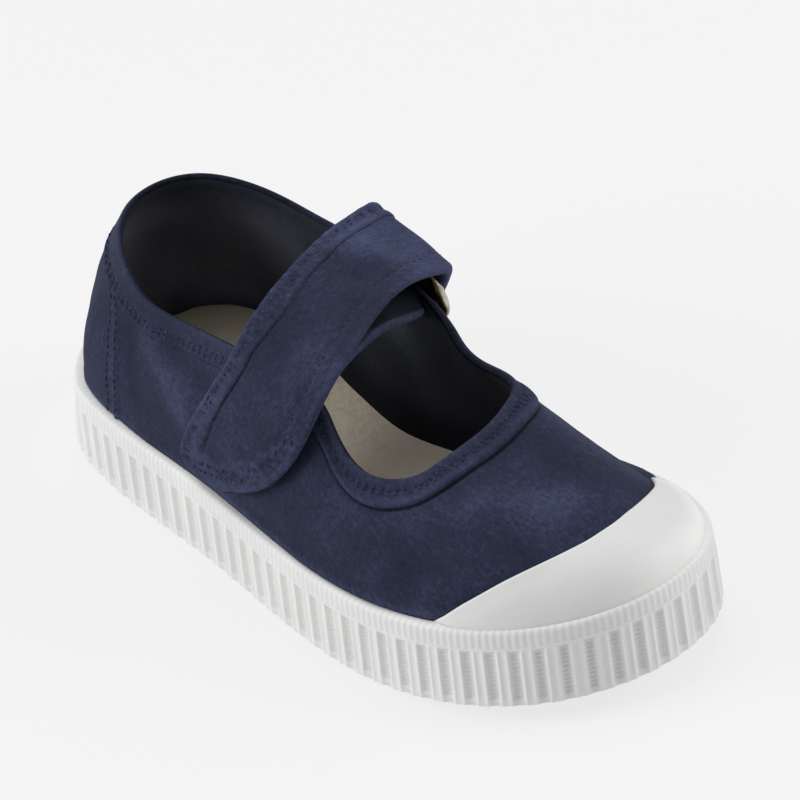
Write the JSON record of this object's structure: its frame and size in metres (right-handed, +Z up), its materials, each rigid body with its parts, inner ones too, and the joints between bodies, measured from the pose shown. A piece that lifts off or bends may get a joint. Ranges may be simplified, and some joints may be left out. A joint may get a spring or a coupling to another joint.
{
  "type": "child's strap shoe",
  "caption": "Low child's canvas shoe with a round throat, one strap folded back through a metal ring, a smooth rubber toe cap and a ribbed rubber foxing.",
  "frame": {"origin": "middle of the whole shoe's box, on the floor under the sole", "axes": "+X to the toe, -Y to the outer side of the foot, +Z up"},
  "size_m": [0.1719, 0.0705, 0.0609],
  "materials": {
    "white_rubber": "matt moulded rubber, off white",
    "navy_canvas": "garment-dyed cotton canvas, navy, faded at folds and edges",
    "insole_fabric": "undyed cotton over foam",
    "antique_silver": "antique silver plate"
  },
  "bodies": {
    "root": {"outsole": "white_rubber", "foxing": "white_rubber", "toe_cap": "white_rubber", "upper": "navy_canvas", "strap": "navy_canvas", "ring_tab": "navy_canvas", "insole": "insole_fabric", "ring": "antique_silver"}
  },
  "joints": []
}
